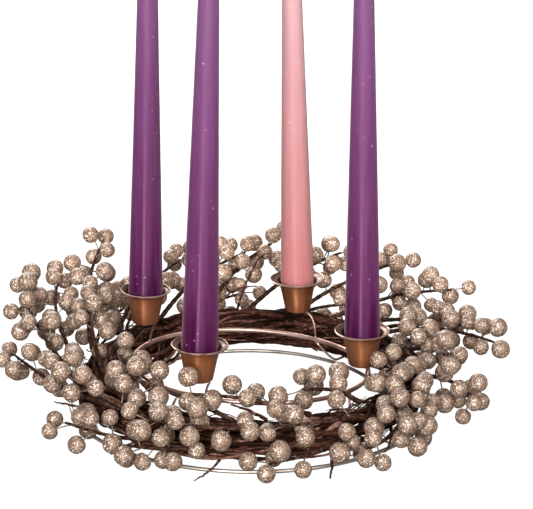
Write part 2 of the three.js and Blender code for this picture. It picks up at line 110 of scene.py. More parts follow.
WIRE_DEEP = (0.34, 0.19, 0.145, 1)
WIRE_ROSE = (0.78, 0.54, 0.46, 1)
WORN_DEEP = (0.24, 0.18, 0.145, 1)
WORN_PALE = (0.66, 0.60, 0.53, 1)
DRAWN_LINES_A_METRE = 1400
DRAWN_LINE_DEPTH = 0.00004
TARNISH_ROUGHER = 0.1
POLISH_SMOOTHER = 0.06
# Where nearly all of a cloudy noise lies
CLOUD_RANGE = (0.3, 0.7)


def polar(azimuth, radius, height):
    """Point at an azimuth in degrees, a distance from the wreath's axis and a height."""
    angle = radians(azimuth)
    return Vector((radius * cos(angle), radius * sin(angle), height))


def set_down(piece, name, slot, *nodes):
    """Hands a finished piece over to the frame, in place of the plain nodes that it stands for."""
    piece.name = name
    piece.data.name = name
    piece.data.transform(INTO_FRAME)
    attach(piece, "root")
    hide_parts(*nodes)
    piece.select_set(False)


def set_sockets(node, sockets):
    """Sets a node's sockets to plain values, or links them to what other nodes give."""
    for name, term in sockets.items():
        if isinstance(term, bpy.types.NodeSocket):
            node.id_data.links.new(term, node.inputs[name])
        else:
            node.inputs[name].default_value = term


def add_node(beside, kind, sockets):
    """A node in the same tree as another node or socket."""
    node = beside.id_data.nodes.new(kind)
    set_sockets(node, sockets)
    return node


def start_material(name, sockets):
    """A material with its shader, and the object coordinates that its patterns read."""
    material = bpy.data.materials.new(name)
    material.use_nodes = True
    shader = material.node_tree.nodes["Principled BSDF"]
    set_sockets(shader, sockets)
    return material, shader, add_node(shader, "ShaderNodeTexCoord", {}).outputs["Object"]


def add_noise(place, scale, detail, roughness=0.5):
    """Cloudy noise, whose scale is in clouds to the metre."""
    sockets = {"Vector": place, "Scale": scale, "Detail": detail, "Roughness": roughness}
    return add_node(place, "ShaderNodeTexNoise", sockets).outputs["Fac"]


def add_ramp(factor, stops):
    """Colours blended by a factor, given as its value and the colour there."""
    ramp = add_node(factor, "ShaderNodeValToRGB", {"Fac": factor})
    elements = ramp.color_ramp.elements
    while len(elements) < len(stops):
        elements.new(0.5)
    for element, (position, colour) in zip(elements, stops):
        element.position = position
        element.color = colour
    return ramp.outputs["Color"]


def add_range(value, old_range, new_range):
    """A value stretched from one range to another, and held at its ends."""
    names = ["Value", "From Min", "From Max", "To Min", "To Max"]
    sockets = dict(zip(names, [value, *old_range, *new_range]))
    return add_node(value, "ShaderNodeMapRange", sockets).outputs["Result"]


def add_term(kind, operation, *terms):
    """Reckons with what a node gives and further terms, links or plain values."""
    node = add_node(terms[0], kind, {})
    node.operation = operation
    set_sockets(node, dict(enumerate(terms)))
    return node.outputs[0]


def add_bump(shader, height, depth, strength):
    """Fine relief, whose depth is in metres."""
    sockets = {"Height": height, "Distance": depth, "Strength": strength}
    bump = add_node(shader, "ShaderNodeBump", sockets)
    set_sockets(shader, {"Normal": bump.outputs["Normal"]})
    return bump


def plated_copper(name, deep, pale, tarnish_scale, roughness):
    """Copper plating, cloudy with tarnish and finely drawn."""
    sockets = {"Roughness": roughness, "Metallic": 0.8}
    material, shader, place = start_material(name, sockets)
    clouds = add_noise(place, tarnish_scale, detail=4)
    colour = add_ramp(clouds, [(0.35, deep), (0.62, pale)])
    glosses = (roughness + TARNISH_ROUGHER, roughness - POLISH_SMOOTHER)
    gloss = add_range(clouds, CLOUD_RANGE, glosses)
    set_sockets(shader, {"Base Color": colour, "Roughness": gloss})
    lines = add_noise(place, DRAWN_LINES_A_METRE, detail=3)
    add_bump(shader, lines, DRAWN_LINE_DEPTH, strength=0.5)
    return material


def stretch_upright(shader, amount):
    """Draws a sheen out into an upright band, as on spun metal or dipped wax."""
    upright = add_node(shader, "ShaderNodeCombineXYZ", {"Z": 1}).outputs["Vector"]
    set_sockets(shader, {"Tangent": upright, "Anisotropic": amount})


def select_where(piece, wanted):
    """Selects the points of a piece that pass a test, and opens it for shaping."""
    bpy.ops.object.mode_set(mode="EDIT")
    bpy.ops.mesh.select_all(action="DESELECT")
    bpy.ops.object.mode_set(mode="OBJECT")
    for vertex in piece.data.vertices:
        vertex.select = wanted(vertex.co)
    bpy.ops.object.mode_set(mode="EDIT")


def displace(piece, wave_length, strength, direction="NORMAL"):
    """Moves a piece's surface a little out of true, in soft waves."""
    waves = bpy.data.textures.new("waves", "CLOUDS")
    waves.noise_scale = wave_length
    bpy.ops.object.modifier_add(type="DISPLACE")
    push = piece.modifiers[-1]
    push.texture = waves
    push.direction = direction
    push.strength = strength
    bpy.ops.object.modifier_apply(modifier=push.name)


def weld_ends(ring):
    """Swells the wire where its two ends are butted together."""

    def near_weld(point):
        azimuth = degrees(atan2(point.y, point.x)) % 360
        return abs(azimuth - WELD_AZIMUTH) < WELD_HALF_ANGLE

    select_where(ring, near_weld)
    bpy.ops.transform.resize(value=WELD_SWELL)
    bpy.ops.object.mode_set(mode="OBJECT")


wire_copper = plated_copper("copper wire", WIRE_DEEP, WIRE_ROSE, tarnish_scale=55, roughness=0.36)
worn_copper = plated_copper("worn copper wire", WORN_DEEP, WORN_PALE, tarnish_scale=40, roughness=0.4)
tilted = (atan(UPPER_RING_SLOPE_Y), -atan(UPPER_RING_SLOPE_X), 0)
flat = (0, 0, 0)
for node, radius, wire, height, turn, plating in [
    ("upper_ring", CUP_CIRCLE_RADIUS, UPPER_WIRE_RADIUS, UPPER_RING_HEIGHT, tilted, wire_copper),
    ("inner_ring", INNER_RING_RADIUS, LOWER_WIRE_RADIUS, LOWER_RING_HEIGHT, flat, worn_copper),
    ("outer_ring", OUTER_RING_RADIUS, LOWER_WIRE_RADIUS, LOWER_RING_HEIGHT, flat, worn_copper),
]:
    bpy.ops.mesh.primitive_torus_add(
        location=(0, 0, height),
        rotation=turn,
        major_radius=radius,
        minor_radius=wire,
        major_segments=RING_SEGMENTS,
        minor_segments=WIRE_SEGMENTS,
    )
    ring = bpy.context.object
    bpy.ops.object.transform_apply()
    weld_ends(ring)
    for direction in "XY":
        displace(ring, HAND_BEND_LENGTH, HAND_BEND, direction)
    bpy.ops.object.shade_smooth()
    ring.data.materials.append(plating)
    set_down(ring, f"{node}_wire", "copper", node)

# Four legs of thin copper wire are welded under the upper ring. Each slants down and out, bends
# over the inner ring, and runs out level under the vines to the outer ring.
LEG_AZIMUTHS = (54, 126, 234, 324)
LEG_TURN = -6
LEG_WIRE_RADIUS = 0.75
LEG_LEVEL = 3.03
LEG_TOP_DROP = 2.0
# Radii of the knee and heel of the bend, and of the end
LEG_RADII = (INNER_RING_RADIUS - 3, INNER_RING_RADIUS + 2, OUTER_RING_RADIUS + 1)
BEND_STEPS = 14
WELD_BEAD_RADIUS = 1.3
WELD_BEAD_FLATNESS = 0.7
WELD_BEAD_RISE = 0.5
WIRE_ROUNDNESS = 3


def upper_ring_height(azimuth):
    point = polar(azimuth, CUP_CIRCLE_RADIUS, 0)
    return UPPER_RING_HEIGHT + point.x * UPPER_RING_SLOPE_X + point.y * UPPER_RING_SLOPE_Y


def shares(steps):
    """Even shares from 0 to 1, both ends included."""
    return [step / steps for step in range(steps + 1)]


def bend_point(bend, share):
    """Point on a bend drawn from a first point past a middle one to a last one."""
    first, middle, last = bend
    rest = 1 - share
    return first * rest**2 + middle * (2 * rest * share) + last * share**2


def finish_mesh():
    """Ends the editing of a mesh, its double points joined and its faces turned outward."""
    bpy.ops.mesh.select_all(action="SELECT")
    bpy.ops.mesh.remove_doubles(threshold=0.001)
    bpy.ops.mesh.normals_make_consistent(inside=False)
    bpy.ops.object.mode_set(mode="OBJECT")


def join_into(piece, others):
    for other in [piece, *others]:
        other.select_set(True)
    bpy.context.view_layer.objects.active = piece
    bpy.ops.object.join()


def draw_strands(routes, roundness, material):
    """One mesh of round strands. A route is a list of points, each with the radius there."""
    bpy.ops.curve.primitive_nurbs_path_add()
    drawing = bpy.context.object
    curve = drawing.data
    curve.splines.clear()
    curve.bevel_depth = 1
    curve.bevel_resolution = roundness
    curve.use_fill_caps = True
    for route in routes:
        spline = curve.splines.new("POLY")
        spline.points.add(len(route) - 1)
        for knot, (point, radius) in zip(spline.points, route):
            knot.co = (*point, 1)
            knot.radius = radius
    bpy.ops.object.convert(target="MESH")
    bpy.ops.object.mode_set(mode="EDIT")
    finish_mesh()
    bpy.ops.object.shade_smooth()
    drawing.data.materials.append(material)
    return drawing


def add_bead(piece, point):
    """A blob of weld metal, joined to a wire."""
    bpy.ops.mesh.primitive_uv_sphere_add(
        segments=12, ring_count=8, radius=WELD_BEAD_RADIUS, location=point
    )
    bpy.ops.transform.resize(value=(1, 1, WELD_BEAD_FLATNESS))
    bpy.ops.object.shade_smooth()
    bead = bpy.context.object
    bead.data.materials.append(piece.data.materials[0])
    join_into(piece, [bead])


leg_paths = []
for number, azimuth in enumerate(LEG_AZIMUTHS, start=1):
    top = polar(azimuth, CUP_CIRCLE_RADIUS, upper_ring_height(azimuth) - LEG_TOP_DROP)
    knee, heel, end = [polar(azimuth + LEG_TURN, radius, LEG_LEVEL) for radius in LEG_RADII]
    leg_paths.append((top, heel, end))
    slope = (top, knee, heel)
    route = [(bend_point(slope, share), LEG_WIRE_RADIUS) for share in shares(BEND_STEPS)]
    route.append((end, LEG_WIRE_RADIUS))
    leg = draw_strands([route], WIRE_ROUNDNESS, wire_copper)
    add_bead(leg, top + Vector((0, 0, WELD_BEAD_RISE)))
    set_down(leg, f"leg_wire_{number}", "copper", f"leg_{number}")

# Four spun copper cups stand on bent wire posts over the upper ring, each leaning a little its own
# way. The wall tapers to a flat foot, and the mouth flares out to a rolled lip.
MEAN_RIM_HEIGHT = 61
CUP_HEIGHT = 22.6
CUP_BASE_RADIUS = 8.4
CUP_BODY_RADIUS = 11.9
CUP_WALL = 0.7
CUP_FLARE_HEIGHT = -3.2
LIP_FOOT_RADIUS = 13.4
# Width of the rolled edge, which carries a painted highlight
RIM_HIGHLIGHT_WIDTH = 1.1
CUP_STEPS = 64
POST_START = 3
POST_REACH = 10
POST_BEND = 9
TOUCH_GAP = 0.3

# Name, azimuth, rise of the rim over the mean, lean to the right and radius of the rim, azimuth that
# the post leaves the cup's foot in, and how far round the ring it ends
PLACES = [
    ("back_left", 156, 2.9, 0.95, 16.3, 10, -4),
    ("front_left", 246, 2.1, 1.44, 17.2, 350, 3),
    ("back_right", 66, -1.2, -1.86, 18.4, 345, -11),
    ("front_right", 336, -2.0, -1.18, 17.2, 20, 8),
]

CUP_DEEP = (0.36, 0.130, 0.056, 1)
CUP_PALE = (0.50, 0.190, 0.088, 1)
LIP_DEEP = (0.10, 0.048, 0.034, 1)
LIP_ROSE = (0.32, 0.190, 0.150, 1)
# Pale copper of the rolled edge, a painted highlight
RIM_HIGHLIGHT_DEEP = (0.28, 0.14, 0.10, 1)
RIM_HIGHLIGHT_ROSE = (0.72, 0.49, 0.41, 1)
# Inside of the mouth, near black as painted shade
MOUTH_SHADE_DEEP = (0.030, 0.009, 0.006, 1)
MOUTH_SHADE_RED = (0.090, 0.030, 0.020, 1)
POST_DEEP = (0.16, 0.080, 0.058, 1)
POST_ROSE = (0.46, 0.28, 0.22, 1)


def cup_outline(rim):
    """A cup's section, from the middle of its foot out round the lip and back down inside."""
    foot = CUP_BASE_RADIUS
    under = -CUP_HEIGHT
    inside = CUP_BASE_RADIUS - CUP_WALL
    well = -CUP_HEIGHT + CUP_WALL
    return [
        (0, under + 0.25),
        (foot - 2.2, under + 0.2),
        (foot - 1.4, under),
        (foot - 0.5, under + 0.05),
        (foot + 0.02, under + 0.6),
        (9.5, -16),
        (10.7, -9.5),
        (CUP_BODY_RADIUS - 0.05, CUP_FLARE_HEIGHT - 1.6),
        (12.5, CUP_FLARE_HEIGHT - 0.4),
        (13.4, -2.6),
        (14.4, -2.15),
        (rim - 1, -1.5),
        (rim - 0.35, -1.2),
        (rim, -0.75),
        (rim - 0.05, -0.25),
        (rim - 0.5, 0),
        (rim - 1, -0.2),
        (rim - 1.3, -0.7),
        (14.4, -1.25),
        (LIP_FOOT_RADIUS, -1.75),
        (12.4, -2.6),
        (11.8, CUP_FLARE_HEIGHT - 0.8),
        (CUP_BODY_RADIUS - CUP_WALL, CUP_FLARE_HEIGHT - 2.4),
        (10.0, -9.5),
        (inside, well + 0.6),
        (inside - 0.6, well),
        (0, well + 0.1),
    ]


def turn_on_axis(outline, steps):
    """A shape spun about Z from its outline, given as distances from the axis and heights."""
    bpy.ops.mesh.primitive_plane_add(size=1)
    bpy.ops.object.mode_set(mode="EDIT")
    bpy.ops.mesh.select_all(action="SELECT")
    bpy.ops.mesh.merge(type="CENTER")
    bpy.ops.transform.translate(value=(outline[0][0], 0, outline[0][1]))
    for (radius, height), (next_radius, next_height) in zip(outline, outline[1:]):
        step = (next_radius - radius, 0, next_height - height)
        bpy.ops.mesh.extrude_region_move(TRANSFORM_OT_translate={"value": step})
    bpy.ops.mesh.select_all(action="SELECT")
    bpy.ops.mesh.spin(steps=steps, angle=tau, center=(0, 0, 0), axis=(0, 0, 1))
    finish_mesh()
    bpy.ops.object.shade_smooth_by_angle(angle=radians(50))
    return bpy.context.object


def stand_in_holder(place, piece):
    """Moves a piece that was made round the middle of a cup's rim to its leaning holder."""
    _, azimuth, rise, lean, *_ = place
    rim_centre = polar(azimuth, CUP_CIRCLE_RADIUS, MEAN_RIM_HEIGHT + rise)
    holder = Matrix.Translation(rim_centre) @ Matrix.Rotation(radians(lean), 4, "Y")
    piece.data.transform(holder)
    return holder


spun_copper = plated_copper("spun copper", CUP_DEEP, CUP_PALE, tarnish_scale=60, roughness=0.33)
stretch_upright(spun_copper.node_tree.nodes["Principled BSDF"], 0.85)
cup_platings = [
    spun_copper,
    plated_copper("cup flange", LIP_DEEP, LIP_ROSE, tarnish_scale=160, roughness=0.38),
    plated_copper("rim painted highlight", RIM_HIGHLIGHT_DEEP, RIM_HIGHLIGHT_ROSE, tarnish_scale=220, roughness=0.32),
    plated_copper("cup mouth painted shade", MOUTH_SHADE_DEEP, MOUTH_SHADE_RED, tarnish_scale=90, roughness=0.55),
]
WALL, FLANGE, RIM_HIGHLIGHT, MOUTH_PAINTED_SHADE = range(len(cup_platings))
post_copper = plated_copper("post wire", POST_DEEP, POST_ROSE, tarnish_scale=55, roughness=0.36)
for place in PLACES:
    name, azimuth, _, _, rim, post_way, post_turn = place
    cup = turn_on_axis(cup_outline(rim), CUP_STEPS)
    for plating in cup_platings:
        cup.data.materials.append(plating)
    for face in cup.data.polygons:
        outward = Vector((face.center.x, face.center.y, 0))
        if outward.length > rim - RIM_HIGHLIGHT_WIDTH:
            # Painted highlight on the rolled edge
            face.material_index = RIM_HIGHLIGHT
        elif outward.length > LIP_FOOT_RADIUS:
            face.material_index = FLANGE
        elif face.normal.dot(outward) < 0:
            # Painted shade inside the mouth
            face.material_index = MOUTH_PAINTED_SHADE
        else:
            face.material_index = WALL
    holder = stand_in_holder(place, cup)
    set_down(cup, f"copper_cup_{name}", "copper", f"cup_{name}")

    under_cup = -CUP_HEIGHT - TOUCH_GAP - LEG_WIRE_RADIUS
    foot_azimuth = azimuth + post_turn
    foot_height = upper_ring_height(foot_azimuth) + UPPER_WIRE_RADIUS + TOUCH_GAP
    post_top = holder @ polar(post_way, POST_START, under_cup)
    beside_top = holder @ polar(post_way, POST_REACH, under_cup)
    above_foot = polar(foot_azimuth, CUP_CIRCLE_RADIUS, foot_height + POST_BEND)
    post_foot = polar(foot_azimuth, CUP_CIRCLE_RADIUS, foot_height)
    post_route = []
    for share in shares(BEND_STEPS):
        upper = bend_point((post_top, beside_top, above_foot), share)
        lower = bend_point((beside_top, above_foot, post_foot), share)
        post_route.append((upper.lerp(lower, share), LEG_WIRE_RADIUS))
    post = draw_strands([post_route], WIRE_ROUNDNESS, post_copper)
    add_bead(post, post_foot)
    set_down(post, f"post_wire_{name}", "copper", f"post_{name}")

# The tapers are dipped wax candles, three purple and one pink, pushed into the cups. They narrow
# evenly to a rounded tip, with the faint unevenness and rubbed specks that dipped wax has.
CANDLE_RADIUS = 11.1
CANDLE_LENGTH = 254
SHOULDER_RADIUS = 5.7
SHOULDER_LENGTH = 12
CANDLE_DEPTH_IN_CUP = 21.2
FOOT_BEVEL = 1.2
FOOT_BEVEL_HEIGHT = 1
NECK_INSET = 0.1
NECK_HEIGHT = 1.5
WICK_HOLE_RADIUS = 1.3
WICK_DEPTH = 4
CANDLE_ROWS = 44
CANDLE_STEPS = 56
SHOULDER_ROWS = 9
PINK_PLACE = "back_right"
WAX_UNEVENNESS = 0.22
WAX_WAVE_LENGTH = 16

candle_top = CANDLE_LENGTH - CANDLE_DEPTH_IN_CUP
shoulder_foot = candle_top - SHOULDER_LENGTH

# Heights in the frame over which painted light grades the wax, from painted shade by the cup to paler
# up the taper, and between which its gloss goes dull
PAINTED_LIGHT_HEIGHTS = (0.06, 0.31)
DULLING_HEIGHTS = (0.09, 0.17)
DULLING_ROUGHNESS = (0.38, 0.56)
STREAK_STRETCH = (1, 1, 0.05)
STREAKS_A_METRE = 420
STREAKING = (-0.07, 0.09)
RUBS_A_METRE = 210
RUB_REACH = (0.05, 0.16)
RUB_SPREAD = (0.51, 0.66)
RUBBING = (0, 0.6)
RUB_COLOUR = (0.75, 0.6, 0.72, 1)
PATCHING = (-0.04, 0.06)
WAX_PORE_DEPTH = 0.0001
SCATTER_DEPTH = 0.008

# Wax colours from the cup up to where the taper is thin, darker by the cup as painted shade and paler
# up the taper as painted light
PURPLE_WAX = [
    (0.0, (0.036, 0.001, 0.024, 1)),
    (0.12, (0.082, 0.014, 0.064, 1)),
    (0.47, (0.124, 0.036, 0.112, 1)),
    (1.0, (0.176, 0.080, 0.176, 1)),
]
PINK_WAX = [
    (0.0, (0.430, 0.160, 0.158, 1)),
    (0.45, (0.475, 0.236, 0.245, 1)),
    (1.0, (0.510, 0.335, 0.352, 1)),
]
PURPLE_SHEEN = (1.0, 0.58, 0.86, 1)
PINK_SHEEN = (1.0, 0.84, 0.84, 1)
PURPLE_SCATTER = (0.7, 0.2, 0.6)
PINK_SCATTER = (1.0, 0.45, 0.4)


def dipped_wax(name, stops, scatter, sheen, gloss):
    """Glossy coloured wax, clouded, with small pale rubs, and painted light that darkens it by the
    cup and pales it up the taper.
    """
    sockets = {
        "Roughness": 0.36,
        "Specular IOR Level": gloss,
        "Specular Tint": sheen,
        "Subsurface Weight": 0.7,
        "Subsurface Radius": scatter,
        "Subsurface Scale": SCATTER_DEPTH,
        "Sheen Weight": 0.2,
        "Sheen Roughness": 0.4,
        "Sheen Tint": sheen,
    }
    material, shader, place = start_material(name, sockets)
    height = add_node(place, "ShaderNodeSeparateXYZ", {"Vector": place}).outputs["Z"]
    # Painted light: the wax is painted darker by the cup and paler up the taper.
    painted_light = add_range(height, PAINTED_LIGHT_HEIGHTS, (0, 1))
    drawn_out = add_term("ShaderNodeVectorMath", "MULTIPLY", place, STREAK_STRETCH)
    streaks = add_noise(drawn_out, STREAKS_A_METRE, detail=3)
    streaking = add_range(streaks, CLOUD_RANGE, STREAKING)
    body = add_ramp(add_term("ShaderNodeMath", "ADD", painted_light, streaking), stops)

    cells = {"Vector": place, "Scale": RUBS_A_METRE}
    from_rub = add_node(place, "ShaderNodeTexVoronoi", cells).outputs["Distance"]
    near_rub = add_range(from_rub, RUB_REACH, (1, 0))
    areas = add_noise(place, scale=60, detail=3)
    rubbing = add_range(areas, RUB_SPREAD, RUBBING)
    amount = add_term("ShaderNodeMath", "MULTIPLY", near_rub, rubbing)
    mix = add_node(place, "ShaderNodeMix", {})
    mix.data_type = "RGBA"
    set_sockets(mix, {"Factor": amount, "A": body, "B": RUB_COLOUR})

    dulling = add_range(height, DULLING_HEIGHTS, DULLING_ROUGHNESS)
    patches = add_noise(place, scale=130, detail=4)
    patching = add_range(patches, CLOUD_RANGE, PATCHING)
    bloom = add_term("ShaderNodeMath", "ADD", dulling, patching)
    set_sockets(shader, {"Base Color": mix.outputs["Result"], "Roughness": bloom})
    stretch_upright(shader, 0.97)
    pores = add_noise(place, scale=420, detail=4)
    add_bump(shader, pores, WAX_PORE_DEPTH, strength=0.65)
    return material


foot_bevel_top = -CANDLE_DEPTH_IN_CUP + FOOT_BEVEL_HEIGHT
candle_outline = [
    (0, -CANDLE_DEPTH_IN_CUP),
    (CUP_BASE_RADIUS - CUP_WALL - FOOT_BEVEL, -CANDLE_DEPTH_IN_CUP),
    (CUP_BASE_RADIUS - CUP_WALL - TOUCH_GAP, foot_bevel_top),
    (CUP_BODY_RADIUS - CUP_WALL - TOUCH_GAP - NECK_INSET, CUP_FLARE_HEIGHT),
]
body_foot = CUP_FLARE_HEIGHT + NECK_HEIGHT
for share in shares(CANDLE_ROWS):
    radius = CANDLE_RADIUS + (SHOULDER_RADIUS - CANDLE_RADIUS) * share
    candle_outline.append((radius, body_foot + (shoulder_foot - body_foot) * share))
for row in range(1, SHOULDER_ROWS + 1):
    angle = radians(90 * row / SHOULDER_ROWS)
    radius = WICK_HOLE_RADIUS + (SHOULDER_RADIUS - WICK_HOLE_RADIUS) * cos(angle)
    candle_outline.append((radius, shoulder_foot + SHOULDER_LENGTH * sin(angle)))
candle_outline.append((WICK_HOLE_RADIUS, candle_top - WICK_DEPTH))
candle_outline.append((0, candle_top - WICK_DEPTH))

purple_wax = dipped_wax("purple wax", PURPLE_WAX, PURPLE_SCATTER, PURPLE_SHEEN, gloss=0.36)
pink_wax = dipped_wax("pink wax", PINK_WAX, PINK_SCATTER, PINK_SHEEN, gloss=0.25)
for place in PLACES:
    name = place[0]
    candle = turn_on_axis(candle_outline, CANDLE_STEPS)
    stand_in_holder(place, candle)
    displace(candle, WAX_WAVE_LENGTH, WAX_UNEVENNESS)
    wax, slot = (pink_wax, "pink_wax") if name == PINK_PLACE else (purple_wax, "purple_wax")
    candle.data.materials.append(wax)
    set_down(candle, f"taper_{name}", slot, f"candle_{name}")

# Each wick is three strands of cotton braided together, stiff with wax, and stands in a hole in
# the tip of its taper.
WICK_LENGTH = 14
WICK_STRANDS = 3
WICK_STRAND_RADIUS = 0.42
WICK_BRAID_RADIUS = 0.44
WICK_BRAID_TURNS = 3.2
WICK_BOW = 0.5
WICK_END_THINNING = 0.5
WICK_END_SHARPNESS = 8
WICK_STEPS = 40

COTTON_DARK = (0.62, 0.56, 0.46, 1)
COTTON_PALE = (0.88, 0.84, 0.76, 1)


def mottled(name, sockets, mottle, stops, grain, relief):
    """A mottled material with a grain. Mottle and grain are noises' scale, detail and roughness,
    and relief is the grain's depth and strength."""
    material, shader, place = start_material(name, sockets)
    tone = add_ramp(add_noise(place, *mottle), stops)
    set_sockets(shader, {"Base Color": tone})
    add_bump(shader, add_noise(place, *grain), *relief)
    return material


cotton = mottled(
    "waxed cotton",
    sockets={"Roughness": 0.85},
    mottle=(1500, 3),
    stops=[(0.3, COTTON_DARK), (0.7, COTTON_PALE)],
    grain=(3000, 2),
    relief=(0.00008, 0.6),
)

for place in PLACES:
    name = place[0]
    braid = []
    for strand in range(WICK_STRANDS):
        route = []
        for share in shares(WICK_STEPS):
            angle = tau * (strand / WICK_STRANDS + share * WICK_BRAID_TURNS)
            height = candle_top - WICK_DEPTH + TOUCH_GAP + WICK_LENGTH * share
            across = WICK_BRAID_RADIUS * cos(angle) + WICK_BOW * share**2
            radius = WICK_STRAND_RADIUS * (1 - WICK_END_THINNING * share**WICK_END_SHARPNESS)
            route.append(((across, WICK_BRAID_RADIUS * sin(angle), height), radius))
        braid.append(route)
    wick = draw_strands(braid, 1, cotton)
    stand_in_holder(place, wick)
    set_down(wick, f"braided_wick_{name}", "wick_cotton", f"wick_{name}")

# The ring is dark vine, many long thin runners wound round each other and left rough, with bark
# that has split and paled in places. It rests on the legs and hides them.
VINE_RADIUS = 99
VINE_HEIGHT = 15.7
VINE_HALF_WIDTH = 15.3
VINE_HALF_DEPTH = 11.3
RUNNER_RADIUS = (0.5, 1.8)
RUNNER_SPAN = (50, 200)
RUNNER_STEP = 3
RUNNER_WANDER = 1.1
RUNNER_TURNS = (-3.1, -1.6, 0.7, 1.5, 2.4, 3.6)
RUNNER_DEPTH = 0.5
WINDING_DRIFT = 0.35
WINDING_DRIFT_PACE = 2.3
DIP = 0.07
DIP_PACE = 5
WANDER_PACES = (17, 13)
END_THICKNESS = 0.35
END_TAPER = 6
KNOT_SWELL = 1.35
FIBRE_COUNT = 300
FIBRE_RADIUS = (0.2, 0.5)
FIBRE_SPAN = (4, 26)
FIBRE_WANDER = 2.4
FIBRE_DEPTH = 0.95
KNOT_SPACING = (14, 34)
VINE_SEED = 31

# Where the winding is loose, runners stray from the ring: azimuth of the middle of the stretch, its
# half angle, how far outward the runners stray there, how flat they lie, and how many do
STRAYS = [
    (150, 34, -21, 0.55, 26),
    (90, 55, -9, 0.7, 34),
    (262, 42, 9, 0.7, 20),
]
STRAY_RADIUS = (0.4, 1.3)
STRAY_START = (1, 1.9)
STRAY_SPAN = (1.6, 3.2)
STRAY_DEPTH = 0.3
STRAY_DROP = 4

BARK_BLACK = (0.003, 0.0007, 0.0004, 1)
BARK_DARK = (0.015, 0.0045, 0.0028, 1)
BARK_BROWN = (0.069, 0.0235, 0.0145, 1)
BARK_RED = (0.185, 0.085, 0.063, 1)
BARK_TAN = (0.420, 0.290, 0.235, 1)
BARK_SHEEN = (1.0, 0.72, 0.58, 1)

# Loose twig ends: azimuth, radius and height of the root, then of the tip
TWIGS = [
    (296, 108, 10, 290, 134, 2.2),
    (262, 108, 9, 256, 133, 2.2),
    (236, 110, 12, 231, 131, 6),
    (214, 110, 16, 205, 132, 20),
    (108, 99, 24, 88, 96, 44),
    (95, 108, 24, 84, 116, 62),
    (60, 92, 24, 44, 88, 30),
    (176, 90, 24, 160, 86, 34),
    (20, 90, 22, 4, 87, 26),
    (322, 108, 10, 308, 128, 8),
    (140, 110, 20, 126, 128, 30),
    (276, 92, 24, 262, 88, 32),
]
TWIG_ROOT_RADIUS = 1.3
TWIG_TIP_RADIUS = 0.5
TWIG_BOW = 3
TWIG_KINK = 0.35
TWIG_THICKNESS = (0.85, 1.1)


def bark(name, furrow, ridge, split):
    """Rough bark, darkest in its furrows, brighter on its ridges and pale where it has split."""
    return mottled(
        name,
        sockets={"Roughness": 0.72, "Specular IOR Level": 0.14, "Specular Tint": BARK_SHEEN},
        mottle=(300, 7, 0.68),
        stops=[(0.34, furrow), (0.54, ridge), (0.72, split)],
        grain=(900, 5, 0.65),
        relief=(0.0004, 0.8),
    )


def runner_route(draw, radius, start, span, inner_share, wander, stray=None):
    """One runner's way round the ring, wound about the bundle's middle and knotted as it goes."""
    wound = draw.uniform(0, tau)
    turns = draw.choice(RUNNER_TURNS)
    depth = draw.uniform(inner_share, 1)
    phases = [draw.uniform(0, tau) for _ in range(4)]
    next_knot = draw.uniform(*KNOT_SPACING)
    run = 0
    route = []
    count = max(4, int(span / RUNNER_STEP))
    for share in shares(count):
        azimuth = start + span * share
        angle = radians(azimuth)
        drift = WINDING_DRIFT * sin(WINDING_DRIFT_PACE * angle + phases[0])
        section = wound + turns * angle + drift
        reach = depth * (1 - DIP * (1 + sin(DIP_PACE * angle + phases[1])))
        wide = (VINE_HALF_WIDTH - radius) * reach * cos(section)
        high = (VINE_HALF_DEPTH - radius) * reach * sin(section)
        wide += wander * sin(WANDER_PACES[0] * angle + phases[2])
        high += wander * sin(WANDER_PACES[1] * angle + phases[3])
        if stray:
            middle, half_angle, outward, flatness, _ = stray
            amount = exp(-(((azimuth - middle) / half_angle) ** 2))
            wide += outward * amount
            high *= 1 + (flatness - 1) * amount
            high -= STRAY_DROP * amount
        thickness = radius * min(1, END_THICKNESS + END_TAPER * min(share, 1 - share))
        run += radians(span / count) * VINE_RADIUS
        if run > next_knot:
            next_knot = run + draw.uniform(*KNOT_SPACING)
            thickness *= KNOT_SWELL
        route.append((polar(azimuth, VINE_RADIUS + wide, VINE_HEIGHT + high), thickness))
    return route


draw = random.Random(VINE_SEED)
# Bark, how many runners have it, and its share of the strays
kinds = [
    (bark("dark bark", BARK_BLACK, BARK_DARK, BARK_BROWN), 84, 0.4),
    (bark("red bark", BARK_DARK, BARK_BROWN, BARK_RED), 40, 0.4),
    (bark("split bark", BARK_BROWN, BARK_RED, BARK_TAN), 16, 0.2),
]
bundles = []
for runner_bark, runner_count, _ in kinds:
    runners = []
    for _ in range(runner_count):
        radius = draw.uniform(*RUNNER_RADIUS)
        span = draw.uniform(*RUNNER_SPAN)
        start = draw.uniform(0, 360)
        runners.append(runner_route(draw, radius, start, span, RUNNER_DEPTH, RUNNER_WANDER))
    bundles.append(draw_strands(runners, 1, runner_bark))
for runner_bark, _, stray_share in kinds:
    runners = []
    for stray in STRAYS:
        middle, half_angle, _, _, stray_count = stray
        for _ in range(round(stray_count * stray_share)):
            start = middle - half_angle * draw.uniform(*STRAY_START)
            span = half_angle * draw.uniform(*STRAY_SPAN)
            radius = draw.uniform(*STRAY_RADIUS)
            runners.append(runner_route(draw, radius, start, span, STRAY_DEPTH, RUNNER_WANDER, stray))
    bundles.append(draw_strands(runners, 1, runner_bark))
join_into(bundles[-1], bundles[:-1])
set_down(bundles[-1], "vine_runners", "vine", "vine_ring")

